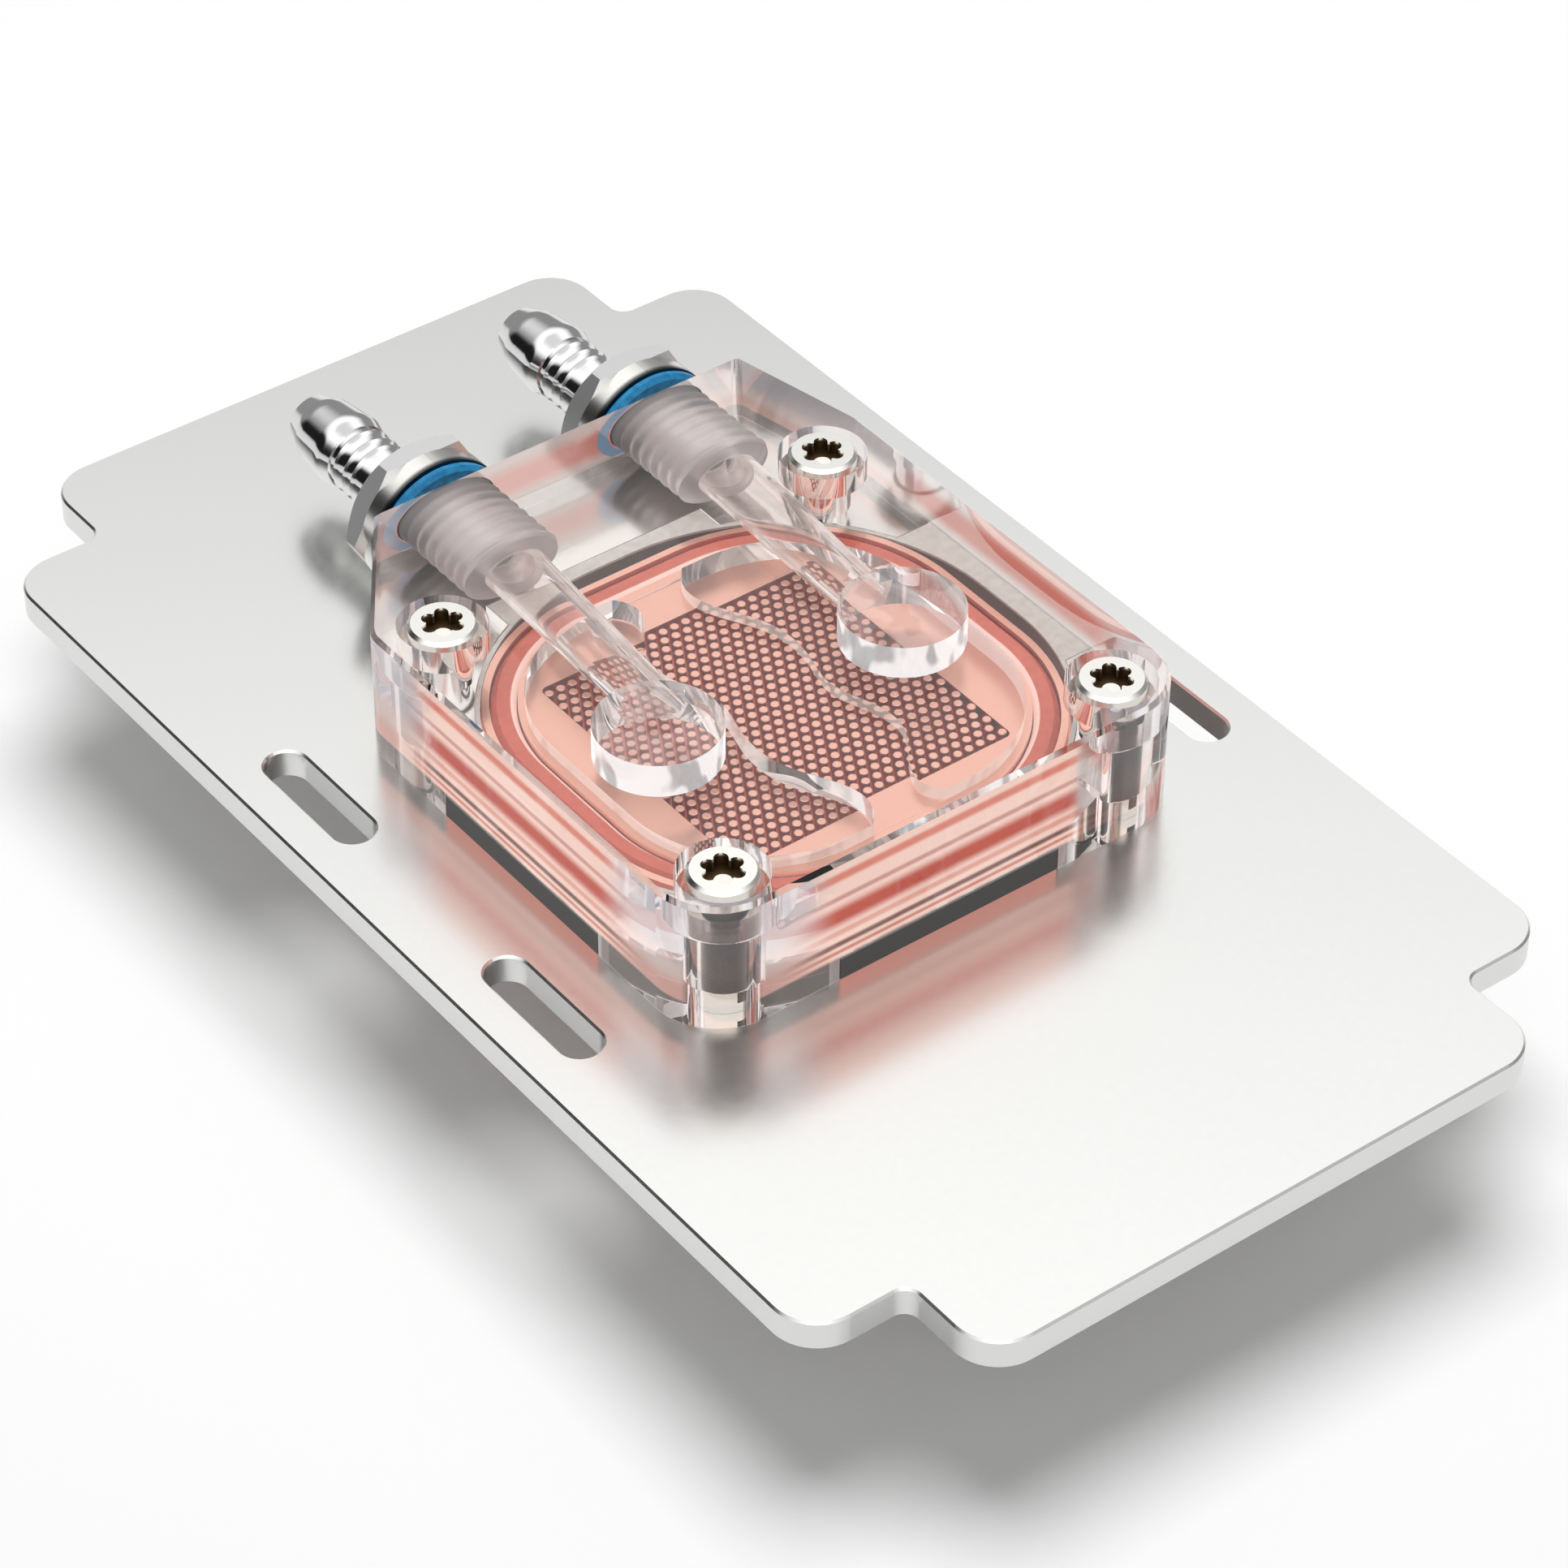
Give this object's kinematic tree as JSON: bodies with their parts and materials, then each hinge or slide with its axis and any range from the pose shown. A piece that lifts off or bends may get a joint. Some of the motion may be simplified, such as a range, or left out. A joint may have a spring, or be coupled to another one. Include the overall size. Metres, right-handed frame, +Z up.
{
  "type": "liquid cooling cold plate",
  "caption": "Liquid cooling cold plate: copper pin-fin base under a clear milled cover with hose barbs, clamped to a slotted aluminium carrier plate.",
  "frame": {"origin": "centre of the carrier plate's underside", "axes": "+Z up out of the carrier plate, +Y along the plate towards the hose barbs, +X across the plate"},
  "size_m": [0.1, 0.177, 0.0214],
  "materials": {
    "satin_plate": "satin, lightly reflective",
    "copper": "polished copper",
    "dark_frame": "satin dark grey",
    "pale_gasket": "pale translucent silicone",
    "orange_seal": "satin orange-red silicone",
    "clear_acrylic": "clear polished acrylic",
    "bright_steel": "bright plated steel",
    "clear_collar": "clear moulded plastic",
    "dark_steel": "dark turned steel",
    "frosted_insert": "frosted translucent plastic with a fine thread",
    "blue_seal": "satin blue rubber",
    "satin_washer": "satin turned",
    "chrome_barb": "polished chrome"
  },
  "bodies": {
    "root": {"carrier_plate": "satin_plate", "copper_base": "copper", "base_frame": "dark_frame", "frame_gasket": "pale_gasket", "main_seal": "orange_seal", "clear_cover": "clear_acrylic", "cover_screw_front_left": "bright_steel", "cover_screw_front_right": "bright_steel", "cover_screw_rear_left": "bright_steel", "cover_screw_rear_right": "bright_steel", "screw_collar_front_left": "clear_collar", "screw_collar_front_right": "clear_collar", "screw_collar_rear_left": "clear_collar", "screw_collar_rear_right": "clear_collar", "limiter_tube_front_left": "dark_steel", "limiter_tube_front_right": "dark_steel", "limiter_tube_rear_left": "dark_steel", "limiter_tube_rear_right": "dark_steel", "foot_bush_front_left": "bright_steel", "foot_bush_front_right": "bright_steel", "foot_bush_rear_left": "bright_steel", "foot_bush_rear_right": "bright_steel", "port_insert_left": "frosted_insert", "port_insert_right": "frosted_insert", "port_seal_left": "blue_seal", "port_seal_right": "blue_seal", "port_washer_left": "satin_washer", "port_washer_right": "satin_washer", "hose_barb_left": "chrome_barb", "hose_barb_right": "chrome_barb"}
  },
  "joints": []
}
